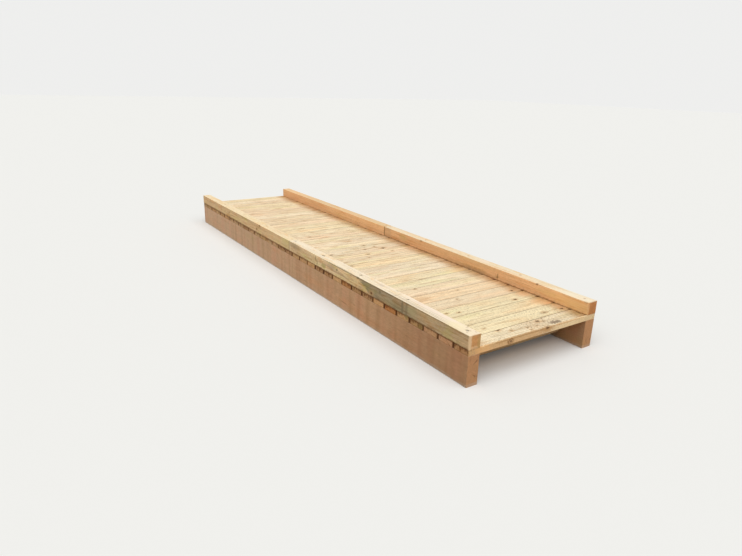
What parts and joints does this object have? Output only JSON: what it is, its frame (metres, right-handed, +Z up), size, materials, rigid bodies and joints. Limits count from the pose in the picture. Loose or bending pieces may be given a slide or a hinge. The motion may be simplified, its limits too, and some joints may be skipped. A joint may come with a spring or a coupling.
{
  "type": "timber footbridge",
  "caption": "Flat timber footbridge: deep side beams with cross noggings, a deck of grooved boards laid crosswise and low spliced kerbs along both edges.",
  "frame": {"origin": "middle of the underside of the beams, on the level the bridge rests on", "axes": "+X along the bridge to its right end, +Y across to the far side, +Z up"},
  "size_m": [5.165, 1.25, 0.362],
  "materials": {
    "deck_timber": "planed and grooved treated softwood, pale and new",
    "kerb_timber": "planed treated softwood, warm and new",
    "beam_timber": "planed treated softwood, pinkish brown",
    "nogging_timber": "sawn treated softwood",
    "fixing_steel": "zinc-plated timber screws with washer heads"
  },
  "bodies": {
    "root": {"beam_far": "beam_timber", "beam_near": "beam_timber", "deck_board_01": "deck_timber", "deck_board_02": "deck_timber", "deck_board_03": "deck_timber", "deck_board_04": "deck_timber", "deck_board_05": "deck_timber", "deck_board_06": "deck_timber", "deck_board_07": "deck_timber", "deck_board_08": "deck_timber", "deck_board_09": "deck_timber", "deck_board_10": "deck_timber", "deck_board_11": "deck_timber", "deck_board_12": "deck_timber", "deck_board_13": "deck_timber", "deck_board_14": "deck_timber", "deck_board_15": "deck_timber", "deck_board_16": "deck_timber", "deck_board_17": "deck_timber", "deck_board_18": "deck_timber", "deck_board_19": "deck_timber", "deck_board_20": "deck_timber", "deck_board_21": "deck_timber", "deck_board_22": "deck_timber", "deck_board_23": "deck_timber", "deck_board_24": "deck_timber", "deck_board_25": "deck_timber", "deck_board_26": "deck_timber", "deck_board_27": "deck_timber", "deck_board_28": "deck_timber", "deck_board_29": "deck_timber", "deck_board_30": "deck_timber", "deck_board_31": "deck_timber", "deck_board_32": "deck_timber", "deck_board_33": "deck_timber", "kerb_far_left": "kerb_timber", "kerb_far_right": "kerb_timber", "kerb_near_left": "kerb_timber", "kerb_near_right": "kerb_timber", "nogging_1": "nogging_timber", "nogging_2": "nogging_timber", "nogging_3": "nogging_timber", "nogging_4": "nogging_timber", "nogging_5": "nogging_timber"}
  },
  "joints": []
}
